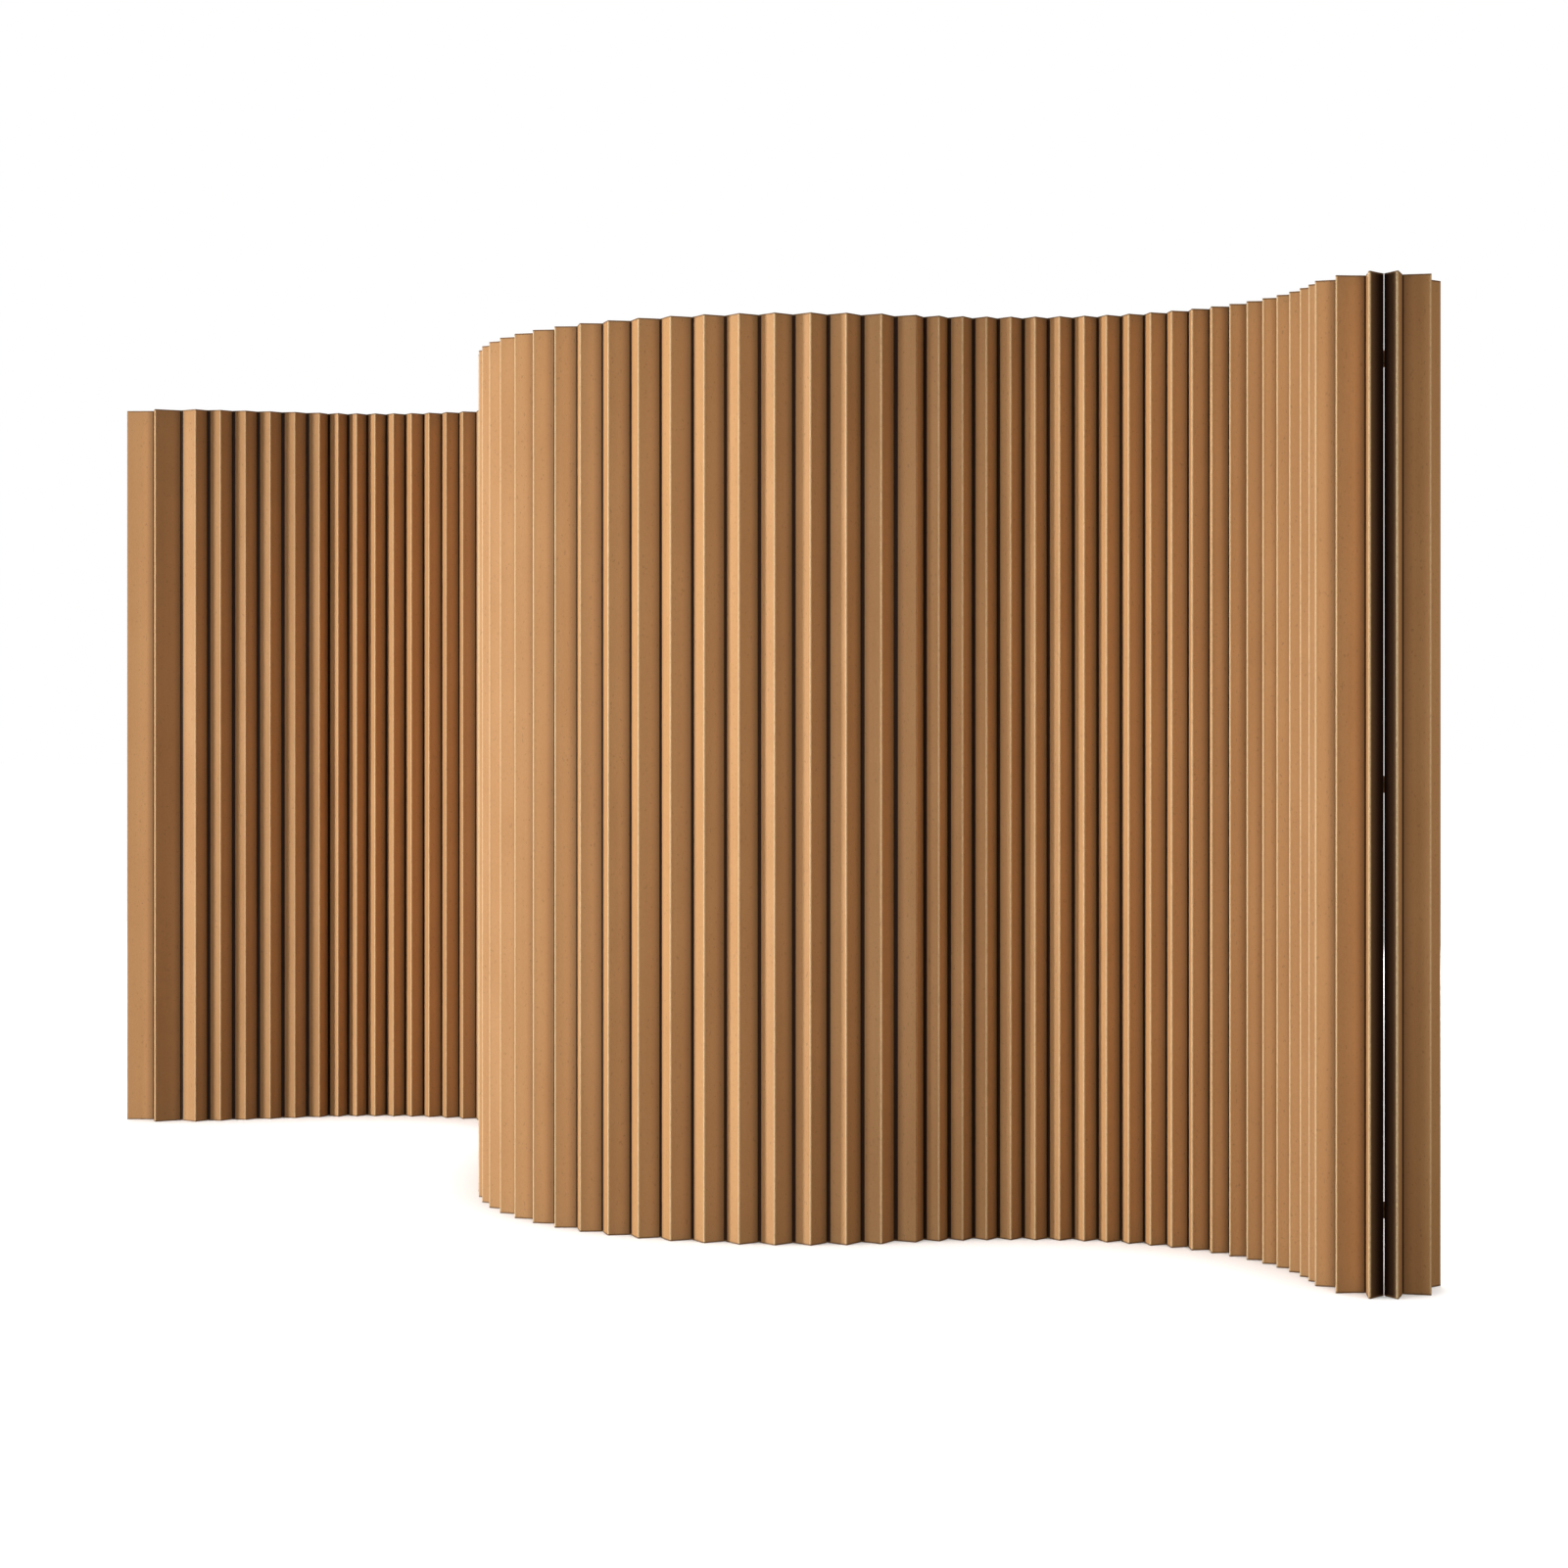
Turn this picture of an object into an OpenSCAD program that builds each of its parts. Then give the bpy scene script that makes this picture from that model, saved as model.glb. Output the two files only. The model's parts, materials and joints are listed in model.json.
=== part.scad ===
// Pleated paper screen.
// Four sheets of kraft board, folded into upright zigzag panels, stand on their bottom edges in
// one winding line: tail, bow, hook and return. Two laps and one taped seam join them.
//
// The line is walked on the floor plan from the tail's free end. Panels turn alternately to the
// left and to the right of the walk. With +Y pointing away from the front, the even vertices are
// ridges on the front side and the odd ones are furrows. Each sheet is cut at some of its creases
// into stiff sections, which turn on each other about those creases.

/* [Board] */
// Height of the screen
screen_h = 1800; // [1200:50:2200]
// Thickness of the folded board
board_t = 2; // [1:0.25:2.5]
// Gap between two sections at the crease that they turn on
crease_gap = 0.2; // [0.1:0.05:0.5]

/* [Panel widths] */
// Panels of the tail sheet
tail_panel_w = 36; // [35:0.25:37]
// Panels of the bow sheet
bow_panel_w = 45; // [44:0.25:46]
// Panels of the hook sheet
hook_panel_w = 35; // [34:0.25:36]
// The four panels at the tail's free end
tail_end_w = [69.5, 44, 66.5, 50]; // [40:0.5:75]
// The four wide panels at the hook's end, before its flap
hook_end_w = [37.5, 53, 53.5, 53]; // [35:0.5:60]
// The flap that closes the hook sheet at the seam
hook_flap_w = 43.8; // [40:0.2:46]
// The flap that opens the return sheet at the seam
return_flap_w = 37.2; // [34:0.2:40]
// The four wide panels of the return sheet, after its flap
return_w = [48, 49.5, 52.5, 54.5]; // [45:0.5:60]

/* [Winding] */
// Direction in which the tail sets off, from +X towards +Y
tail_heading = 14.5; // [12:0.5:17]
// Turn per panel along the loose pleats of the tail, positive to the left
tail_loose_turn = 0.1; // [-0.1:0.05:0.3]
// Turn per panel along the tight pleats of the tail
tail_tight_turn = -2.35; // [-2.5:0.05:-2.2]
// Turn per panel round the bend behind the bow
bend_turn = -4.35; // [-4.5:0.05:-4.2]
// Turn per panel along the run from the bend to the bow
run_turn = 0.7; // [0.6:0.05:0.8]
// Turn per panel round the left half of the bow
bow_left_turn = 3.15; // [3:0.05:3.3]
// Turn per panel round the right half of the bow
bow_right_turn = 2.75; // [2.6:0.05:2.9]
// Turn per panel where the hook begins
hook_start_turn = -1.9; // [-2.1:0.05:-1.7]
// Turn per panel round the hook
hook_turn = -2.75; // [-2.9:0.05:-2.6]

/* [Folding] */
// Angle of a panel to the walk in the loose pleats of the tail
tail_loose_fold = 30; // [28:0.5:32]
// Angle of a panel to the walk in the tight pleats of the tail
tail_tight_fold = 48; // [46:0.5:50]
// Angle of a panel to the walk in the bend
bend_fold = 46; // [44:0.5:48]
// Angle of a panel to the walk in the run to the bow
run_fold = 40; // [38:0.5:42]
// Angle of a panel to the walk in the left half of the bow
bow_left_fold = 40.5; // [38:0.5:42]
// Angle of a panel to the walk in the right half of the bow
bow_right_fold = 41; // [39:0.5:43]
// Angle of a panel to the walk where the hook begins
hook_start_fold = 46.5; // [44:0.5:48]
// Angle of a panel to the walk round the hook
hook_fold = 50; // [48:0.5:52]
// Directions of the four panels at the tail's free end, from +X towards +Y
tail_end_dir = [-2.5, -75.5, 26, -33.5]; // [-80:0.5:30]
// Directions of the four wide panels at the hook's end
hook_end_dir = [-19.5, -102.5, 3.5, -96]; // [-105:0.5:5]
// Direction of the hook's flap
hook_flap_dir = 43.5; // [40:0.5:45]
// Direction of the return sheet's flap
return_flap_dir = -63.5; // [-65:0.5:-60]
// Directions of the four wide panels of the return sheet
return_dir = [68, -12, 96.5, 37.5]; // [-15:0.5:100]

/* [Joints between sheets] */
// Width of the flap that laps behind the sheet before
lap_w = 28; // [20:1:32]
// Thickness of the tape in a lap
lap_tape_t = 0.3; // [0.2:0.05:0.5]
// Length that a lap's tape stops short of the edges around it
lap_tape_inset = 4; // [2:1:6]
// Thickness of the glue between a tape or a tab and the board
glue_t = 0.05; // [0.05:0.01:0.1]
// Length that the slit at the seam takes from the two flaps together
seam_slit = 4.4; // [4.3:0.1:5]
// Height of each tab that holds the seam
seam_tab_h = 30; // [20:5:60]
// Length of a tab on each of the two flaps
seam_tab_reach = 14; // [10:1:18]
// Thickness of a tab
seam_tab_t = 0.4; // [0.3:0.05:0.6]

/* [Turning] */
// Angle by which a crease between two sections can open
crease_open = 20; // [10:1:30]
// Angle by which the crease of a free end leaf can open
leaf_open = 40; // [10:1:45]

/* [Hidden] */
KRAFT = [0.72, 0.53, 0.35];
KRAFT_DEEP = [0.62, 0.44, 0.28];
TAPE = [0.80, 0.66, 0.47];

// ---------------------------------------------------------------- the walk, panel by panel

// Panels in each stretch. They are even, so every stretch begins at a ridge.
TAIL_LOOSE_N = 10;
TAIL_TIGHT_N = 16;
BEND_N = 18;
RUN_N = 24;
BOW_LEFT_N = 16;
BOW_RIGHT_N = 18;
HOOK_START_N = 14;
HOOK_N = 28;

// [panels, width, angle to the walk, turn per panel]
STRETCHES = [
    [TAIL_LOOSE_N, tail_panel_w, tail_loose_fold, tail_loose_turn],
    [TAIL_TIGHT_N, tail_panel_w, tail_tight_fold, tail_tight_turn],
    [BEND_N, tail_panel_w, bend_fold, bend_turn],
    [RUN_N, bow_panel_w, run_fold, run_turn],
    [BOW_LEFT_N, bow_panel_w, bow_left_fold, bow_left_turn],
    [BOW_RIGHT_N, bow_panel_w, bow_right_fold, bow_right_turn],
    [HOOK_START_N, hook_panel_w, hook_start_fold, hook_start_turn],
    [HOOK_N, hook_panel_w, hook_fold, hook_turn],
];

// Heading of the walk over panel i of stretch s. The first panel of all adds no turn.
function turned(s) = s == 0 ? -STRETCHES[0][3] : turned(s - 1) + STRETCHES[s - 1][0] * STRETCHES[s - 1][3];
function heading(s, i) = tail_heading + turned(s) + (i + 1) * STRETCHES[s][3];

// A panel is [width, direction].
function wide_panels(widths, dirs) = [for (i = [0:len(widths) - 1]) [widths[i], dirs[i]]];
function pleats(s) = [
    for (i = [0:STRETCHES[s][0] - 1])
        [STRETCHES[s][1], heading(s, i) + (i % 2 == 0 ? 1 : -1) * STRETCHES[s][2]]
];

PANELS = [
    each wide_panels(tail_end_w, tail_end_dir),
    for (s = [0:len(STRETCHES) - 1]) each pleats(s),
    each wide_panels(hook_end_w, hook_end_dir),
    [hook_flap_w, hook_flap_dir],
    [return_flap_w, return_flap_dir],
    each wide_panels(return_w, return_dir),
];

function unit(a) = [cos(a), sin(a)];
function left_of(d) = [-d[1], d[0]];
function cross2(a, b) = a[0] * b[1] - a[1] * b[0];

DIRS = [for (p = PANELS) unit(p[1])];
WALKED = [for (i = 0, at = [0, 0]; i <= len(PANELS);
    at = i < len(PANELS) ? at + PANELS[i][0] * DIRS[i] : at, i = i + 1) at];

// ---------------------------------------------------------------- where the sheets are cut

TAIL_END = len(tail_end_w) + TAIL_LOOSE_N + TAIL_TIGHT_N + BEND_N;
BOW_END = TAIL_END + RUN_N + BOW_LEFT_N + BOW_RIGHT_N;
HOOK_PLEATS_END = BOW_END + HOOK_START_N + HOOK_N;
SEAM = HOOK_PLEATS_END + len(hook_end_w) + 1;
LAST = SEAM + 1 + len(return_w);

// Panels in a stiff section. It is odd, so ridge creases and furrow creases turn in turn.
SECTION_N = 5;
// Panels of the first section on each side of the two laps, together an odd number
BOW_FIRST_N = 3;
HOOK_FIRST_N = 2;
// Panels of the section at the hook's end and of the one at the return's start
HOOK_END_N = 3;
RETURN_FIRST_N = 3;

TAIL_CUTS = [0, each [1:SECTION_N:TAIL_END - 1], TAIL_END];
BOW_CUTS = [TAIL_END, each [TAIL_END + BOW_FIRST_N:SECTION_N:BOW_END - 1], BOW_END];
HOOK_CUTS = [
    BOW_END, each [BOW_END + HOOK_FIRST_N:SECTION_N:HOOK_PLEATS_END],
    HOOK_PLEATS_END + HOOK_END_N, SEAM - 1, SEAM,
];
RETURN_CUTS = [SEAM, SEAM + RETURN_FIRST_N, LAST - 1, LAST];

TAIL_SECTIONS = len(TAIL_CUTS) - 1;
BOW_SECTIONS = len(BOW_CUTS) - 1;
HOOK_SECTIONS = len(HOOK_CUTS) - 1;
RETURN_SECTIONS = len(RETURN_CUTS) - 1;

function numbered(name, n) = str(name, "_", n < 10 ? "0" : "", n);

// ---------------------------------------------------------------- creases

// Which way the board turns at vertex i: 1 to the left, -1 to the right. The fold's inside is there.
function side(i) = sign(cross2(DIRS[i - 1], DIRS[i]));
// Angle by which the board turns at vertex i
function bend(i) = acos(DIRS[i - 1] * DIRS[i]);
// From the vertex to the left face's corner, for half a thickness of 1
function mitre(i) = let (n = left_of(DIRS[i - 1]), m = left_of(DIRS[i])) (n + m) / (1 + n * m);
function left_corner(at, i) = at + board_t / 2 * mitre(i);
function right_corner(at, i) = at - board_t / 2 * mitre(i);

// The corner inside the fold at vertex i, where two sections turn on each other
function pivot(i) = WALKED[i] + side(i) * board_t / 2 * mitre(i);
function opening_at(i) = i == 1 || i == LAST - 1 ? leaf_open : crease_open;

// End of panel p at the crease at vertex i, which lies ahead along direction d: its left and right
// corner. The end is cut back so that the outer corners still clear each other when the fold opens.
function crease_end(i, p, d) =
    let (
        inner = pivot(i) - crease_gap / 2 * d,
        reach = board_t * tan((bend(i) - opening_at(i)) / 2),
        outer = inner - side(i) * board_t * left_of(DIRS[p]) + reach * d
    )
    side(i) > 0 ? [inner, outer] : [outer, inner];

// Square end of panel p at a point on its middle line
function square_end(at, p) = [at + board_t / 2 * left_of(DIRS[p]), at - board_t / 2 * left_of(DIRS[p])];

// ---------------------------------------------------------------- ends of the sheets

// A sheet that laps folds at lap_vertex(i), a little past the vertex i at which the one before ends.
LAP_T = lap_tape_t + 2 * glue_t;
function lap_vertex(i) = WALKED[i] + (board_t + LAP_T) / sin(bend(i)) * DIRS[i];
function lap_edge(i) = WALKED[i] + board_t / 2 / sin(bend(i)) * DIRS[i - 1];
function seam_edge(p, along) = WALKED[SEAM] + along * seam_slit / 2 * DIRS[p];

function is_lap(i) = i == TAIL_END || i == BOW_END;

// Left and right corners where a section begins at vertex a: a flap that laps has four of them.
function start_corners(a) =
    a == 0 ? square_end(WALKED[0], 0)
    : a == SEAM ? square_end(seam_edge(SEAM, 1), SEAM)
    : is_lap(a) ? lap_start(a)
    : crease_end(a, a, -DIRS[a]);
function lap_start(a) =
    let (fold = lap_vertex(a), flap = square_end(fold - lap_w * DIRS[a - 1], a - 1))
    [flap[0], left_corner(fold, a), right_corner(fold, a), flap[1]];

function end_corners(b) =
    b == LAST ? square_end(WALKED[LAST], LAST - 1)
    : b == SEAM ? square_end(seam_edge(SEAM - 1, -1), SEAM - 1)
    : is_lap(b) ? square_end(lap_edge(b), b - 1)
    : crease_end(b, b - 1, DIRS[b - 1]);

// Outline of the section from vertex a to vertex b: up its left face and back down its right face
function outline(a, b) =
    let (first = start_corners(a), last = end_corners(b), half = len(first) / 2)
    [
        for (i = [0:half - 1]) first[i],
        for (i = [a + 1:1:b - 1]) left_corner(WALKED[i], i),
        last[0],
        last[1],
        for (i = [b - 1:-1:a + 1]) right_corner(WALKED[i], i),
        for (i = [half:2 * half - 1]) first[i],
    ];

// The origin is under the middle of the whole screen's box.
function low(points) = [min([for (p = points) p[0]]), min([for (p = points) p[1]])];
function high(points) = [max([for (p = points) p[0]]), max([for (p = points) p[1]])];
function outlines(cuts) = [for (n = [1:len(cuts) - 1]) each outline(cuts[n - 1], cuts[n])];
EDGES = [for (cuts = [TAIL_CUTS, BOW_CUTS, HOOK_CUTS, RETURN_CUTS]) each outlines(cuts)];
ORIGIN = (low(EDGES) + high(EDGES)) / 2;

// ---------------------------------------------------------------- solids

module upright(points, from, height) {
    translate([-ORIGIN[0], -ORIGIN[1], from])
        linear_extrude(height)
            polygon(points);
}

module pleated_section(cuts, n) {
    upright(outline(cuts[n - 1], cuts[n]), 0, screen_h);
}

module tail_pleats(n) {
    color(KRAFT) pleated_section(TAIL_CUTS, n);
}

module bow_pleats(n) {
    color(KRAFT) pleated_section(BOW_CUTS, n);
}

module hook_pleats(n) {
    color(KRAFT) pleated_section(HOOK_CUTS, n);
}

module return_pleats(n) {
    color(KRAFT_DEEP) pleated_section(RETURN_CUTS, n);
}

// Tape between the last panel of one sheet, which ends at vertex i, and the next sheet's flap
module lap_tape(i) {
    d = DIRS[i - 1];
    face = WALKED[i] + (board_t / 2 + glue_t) * left_of(d);
    back = lap_tape_t * left_of(d);
    near = face - lap_tape_inset * d;
    far = face - (lap_w - lap_tape_inset) * d;
    tape = [near, near + back, far + back, far];
    color(TAPE) upright(tape, lap_tape_inset, screen_h - 2 * lap_tape_inset);
}

module tail_lap_tape() {
    lap_tape(TAIL_END);
}

module hook_lap_tape() {
    lap_tape(BOW_END);
}

// Tabs on the rear faces of the two flaps, near the floor, half way up and near the top
module seam_tabs() {
    at = WALKED[SEAM];
    before = DIRS[SEAM - 1];
    after = DIRS[SEAM];
    inner_t = board_t / 2 + glue_t;
    outer_t = inner_t + seam_tab_t;
    tab = [
        at - seam_tab_reach * before + inner_t * left_of(before),
        at + inner_t * mitre(SEAM),
        at + seam_tab_reach * after + inner_t * left_of(after),
        at + seam_tab_reach * after + outer_t * left_of(after),
        at + outer_t * mitre(SEAM),
        at - seam_tab_reach * before + outer_t * left_of(before),
    ];
    edge_margin = screen_h / 12;
    color(TAPE)
        for (middle = [edge_margin, screen_h / 2, screen_h - edge_margin])
            upright(tab, middle - seam_tab_h / 2, seam_tab_h);
}

for (n = [1:TAIL_SECTIONS])
    tail_pleats(n);
for (n = [1:BOW_SECTIONS])
    bow_pleats(n);
for (n = [1:HOOK_SECTIONS])
    hook_pleats(n);
for (n = [1:RETURN_SECTIONS])
    return_pleats(n);
tail_lap_tape();
hook_lap_tape();
seam_tabs();
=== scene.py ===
"""Looks of the pleated paper screen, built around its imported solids.

Four sheets of kraft board stand on the floor in one winding line. Each sheet is made as stiff boards, one
for each solid of the frame, and a soft fold strip over every crease that the frame's hinges turn on. The
line is walked panel by panel, as in the part's source, and set on the frame by the seam's hinge.
"""

import json
import logging
import math
import random
from dataclasses import dataclass, field, replace
from enum import Enum, IntEnum
from typing import Iterable, Optional, Sequence

import bmesh
import bpy
import numpy as np
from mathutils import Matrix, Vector

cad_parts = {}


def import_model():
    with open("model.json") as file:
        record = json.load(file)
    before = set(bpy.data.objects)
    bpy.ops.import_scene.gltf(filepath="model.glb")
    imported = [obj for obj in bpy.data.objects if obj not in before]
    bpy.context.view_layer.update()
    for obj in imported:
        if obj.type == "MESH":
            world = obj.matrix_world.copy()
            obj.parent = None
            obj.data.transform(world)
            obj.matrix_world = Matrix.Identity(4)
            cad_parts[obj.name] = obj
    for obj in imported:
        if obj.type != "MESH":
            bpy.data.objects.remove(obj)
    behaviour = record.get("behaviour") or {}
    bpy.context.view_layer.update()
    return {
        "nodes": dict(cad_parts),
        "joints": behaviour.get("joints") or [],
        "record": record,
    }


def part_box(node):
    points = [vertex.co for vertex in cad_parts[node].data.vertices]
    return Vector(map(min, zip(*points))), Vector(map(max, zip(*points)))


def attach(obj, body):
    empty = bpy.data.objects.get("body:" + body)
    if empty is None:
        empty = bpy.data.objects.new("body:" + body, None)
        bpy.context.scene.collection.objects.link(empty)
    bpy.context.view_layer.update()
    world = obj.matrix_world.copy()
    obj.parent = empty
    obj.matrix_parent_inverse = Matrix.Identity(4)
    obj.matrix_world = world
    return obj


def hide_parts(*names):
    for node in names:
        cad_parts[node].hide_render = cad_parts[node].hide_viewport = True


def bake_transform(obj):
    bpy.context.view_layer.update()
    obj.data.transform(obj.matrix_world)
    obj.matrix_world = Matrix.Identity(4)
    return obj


LOG = logging.getLogger("pleated_screen")
MM = 0.001
FAR_FROM_FOLD = 0.06
FAR_FROM_SLIT = 1.0

Colour = tuple[float, float, float]
Place = tuple[float, float, float]
Plan = np.ndarray  # a point or direction on the floor plan


# ---------------------------------------------------------------- folds and panels on the plan


class Sheet(Enum):
    """The four folded sheets, in the order in which the line walks them."""

    TAIL = "tail"
    BOW = "bow"
    HOOK = "hook"
    RETURN = "return"


class Side(IntEnum):
    """A side of the walk. A fold's side is the one to which the board turns, where its inside is."""

    LEFT = 1
    RIGHT = -1


class Bit(Enum):
    """The bits of a panel in the order of the walk."""

    FOLD_OUT = "fold out"
    RELAX_OUT = "relax out"
    FLAT = "flat"
    RELAX_IN = "relax in"
    FOLD_IN = "fold in"


STEPS = {Bit.FOLD_OUT: 5, Bit.RELAX_OUT: 3, Bit.FLAT: 4, Bit.RELAX_IN: 3, Bit.FOLD_IN: 5}
LEAVING = (Bit.FOLD_OUT, Bit.RELAX_OUT)
ARRIVING = (Bit.RELAX_IN, Bit.FOLD_IN)


class Mark(Enum):
    """The numbers that a board's mesh stores at each vertex for its finish and painted shade, by attribute
    name.
    """

    RIDGE = "ridge"
    FURROW = "furrow"
    LEE = "lee"
    SLIT = "slit"
    ACROSS = "across"


def unit(angle: float) -> Plan:
    """Gives the unit vector on the plan that points along an angle in radians."""
    return np.array([math.cos(angle), math.sin(angle)])


def left_of(direction: Plan) -> Plan:
    """Gives the unit vector on the plan that points to the left of another."""
    return np.array([-direction[1], direction[0]])


def along_arc(at: Plan, facing: float, length: float, turn: float) -> Plan:
    """Gives the end of an arc on the plan, which sets off facing an angle and turns, left if positive."""
    return at + length * np.sinc(turn / math.tau) * unit(facing + turn / 2)


@dataclass(frozen=True)
class Stretch:
    """A run of pleats of one width whose fold and turn stay the same.

    Widths are in millimetres and angles in degrees, turns per panel and positive to the left.
    """

    panels: int
    width: float
    fold: float
    turn: float


@dataclass(frozen=True)
class Crease:
    """A fold in the board, seen on the plan.

    apex is the middle of the board's arc there. heading is the direction midway between its panels' and
    bend the angle between them. pinch is how much further than its panels the board is folded right at
    the crease.
    """

    apex: Plan
    heading: float
    side: Side
    bend: float
    radius: float
    pinch: float = 0.0

    @classmethod
    def between(cls, before: Plan, after: Plan, apex: Plan, radius: float) -> "Crease":
        """Gives the crease between two panels, without a pinch.

        Args:
            before: Direction of the panel before it.
            after: Direction of the panel after it.
            apex: The middle of its arc.
            radius: Radius of the board's mid-line there.

        Returns:
            The crease.
        """
        side = Side.LEFT if before[0] * after[1] > before[1] * after[0] else Side.RIGHT
        heading = math.atan2(*(before + after)[::-1])
        return cls(apex, heading, side, math.acos(float(before @ after)), radius)

    @property
    def overfold(self) -> float:
        """The pinch as a turn, positive to the left."""
        return self.side * self.pinch

    def drawn_in(self) -> "Crease":
        """Gives the crease whose arc rounds the corner at the apex, so that its panels stay put."""
        inset = self.radius * (1 / math.cos(self.bend / 2) - 1)
        inwards = self.side * unit(self.heading + math.pi / 2)
        return replace(self, apex=self.apex + inset * inwards)


@dataclass(frozen=True)
class Stop:
    """One upright of a board's mesh on the plan.

    near holds its distance along the board from the nearest fold of each side. past counts only a fold
    at which its panel begins, and places the painted shadow of a panel in the lee. to_slit is the distance
    from the open slit at the seam, which places the painted shade of the seam's pocket. give is how
    freely the board of its panel warps there, along left.
    """

    at: Plan
    panel: int
    near: dict[Side, float]
    past: dict[Side, float]
    to_slit: float
    give: float
    left: Plan


def chained(runs: Sequence[Sequence[Stop]]) -> list[Stop]:
    """Joins runs of stops, each of which begins where the one before ends, with no stop twice."""
    return [*runs[0], *(stop for run in runs[1:] for stop in run[1:])]


@dataclass(frozen=True)
class Panel:
    """One panel of the board, whose mid-line runs from fold to fold in five bits.

    The board leaves a fold further turned than the panel lies, relaxes, runs flat, and is turned again
    before the next fold. At a free edge the flat bit runs to the edge. A stiff panel stays flat, because
    another one is glued to it. A panel at the slit ends in the seam's open slit, and one in the lee gets
    a painted shadow where it begins, which stands in for the shade of the panel before it.
    """

    start: Plan
    end: Plan
    before: Optional[Crease]
    after: Optional[Crease]
    number: int = 0
    stiff: bool = False
    at_slit: bool = False
    in_lee: bool = True
    relax: float = 0.005
    rounds: int = 30

    def facing(self, heading: float) -> float:
        """Gives the direction in which the board sets off, if its flat bit has the given one."""
        return self.before.heading if self.before else heading

    def relaxing(self, fold: Crease) -> tuple[float, float]:
        """Gives length and turn of the bit that takes back the pinch of a fold beside it."""
        return (self.relax if fold.pinch else 0.0), -fold.overfold

    def bends(self, heading: float) -> dict[Bit, tuple[float, float]]:
        """Gives length and turn of the five bits, with the flat one's length left at 0.

        Args:
            heading: Direction of the flat bit in radians.

        Returns:
            A (length, turn) pair for each bit.
        """
        bits = {bit: (0.0, 0.0) for bit in Bit}
        if self.before:
            fold = self.before
            turn = math.remainder(heading + fold.overfold - fold.heading, math.tau)
            bits[Bit.FOLD_OUT] = (abs(turn) * fold.radius, turn)
            bits[Bit.RELAX_OUT] = self.relaxing(fold)
        if self.after:
            fold = self.after
            turn = math.remainder(fold.heading - heading + fold.overfold, math.tau)
            bits[Bit.RELAX_IN] = self.relaxing(fold)
            bits[Bit.FOLD_IN] = (abs(turn) * fold.radius, turn)
        return bits

    def solve(self) -> tuple[float, float]:
        """Finds heading and length of the flat bit for which the panel ends where it should.

        Returns:
            The heading in radians and the length.
        """
        chord = self.end - self.start
        heading, length = math.atan2(chord[1], chord[0]), 0.0
        for _ in range(self.rounds):
            at, facing = np.zeros(2), self.facing(heading)
            for reach, turn in self.bends(heading).values():
                at = along_arc(at, facing, reach, turn)
                facing += turn
            rest = chord - at
            heading, length = math.atan2(rest[1], rest[0]), float(np.linalg.norm(rest))
        return heading, length

    def stops(self) -> dict[Bit, list[Stop]]:
        """Walks the panel and stops at the uprights of its mesh.

        Returns:
            The stops of each bit that has a length, its first point among them.
        """
        heading, length = self.solve()
        bits = {**self.bends(heading), Bit.FLAT: (length, 0.0)}
        at, facing, gone = self.start, self.facing(heading), 0.0
        runs = {}
        for bit, (reach, turn) in bits.items():
            if reach == 0:
                continue
            count = STEPS[bit]
            step, swing = reach / count, turn / count
            runs[bit] = []
            for k in range(count + 1):
                if k:
                    at = along_arc(at, facing, step, swing)
                    facing, gone = facing + swing, gone + step
                warps = bit is Bit.FLAT and not self.stiff
                give = math.sin(math.pi * k / count) ** 2 if warps else 0.0
                runs[bit].append(self.stop(at, gone, bits, give, heading))
        return runs

    def stop(
        self, at: Plan, gone: float, bits: dict[Bit, tuple[float, float]], give: float, heading: float
    ) -> Stop:
        """Measures one upright of the panel's mesh.

        Args:
            at: Its place on the plan.
            gone: Its distance along the board from where the panel begins.
            bits: Length and turn of each of the panel's bits.
            give: How freely the board warps there.
            heading: Direction of the flat bit in radians.

        Returns:
            The stop.
        """
        total = sum(reach for reach, _ in bits.values())
        near = {side: FAR_FROM_FOLD for side in Side}
        past = dict(near)
        if self.before:
            near[self.before.side] = max(gone - bits[Bit.FOLD_OUT][0], 0.0)
            # A panel in the lee keeps its distance from its first fold, for the painted shadow there.
            if self.in_lee:
                past = dict(near)
        if self.after:
            away = max(total - gone - bits[Bit.FOLD_IN][0], 0.0)
            near[self.after.side] = min(near[self.after.side], away)
        to_slit = FAR_FROM_SLIT
        if self.at_slit:
            to_slit = total - gone if self.before else gone
        return Stop(at, self.number, near, past, to_slit, give, unit(heading + math.pi / 2))


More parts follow.
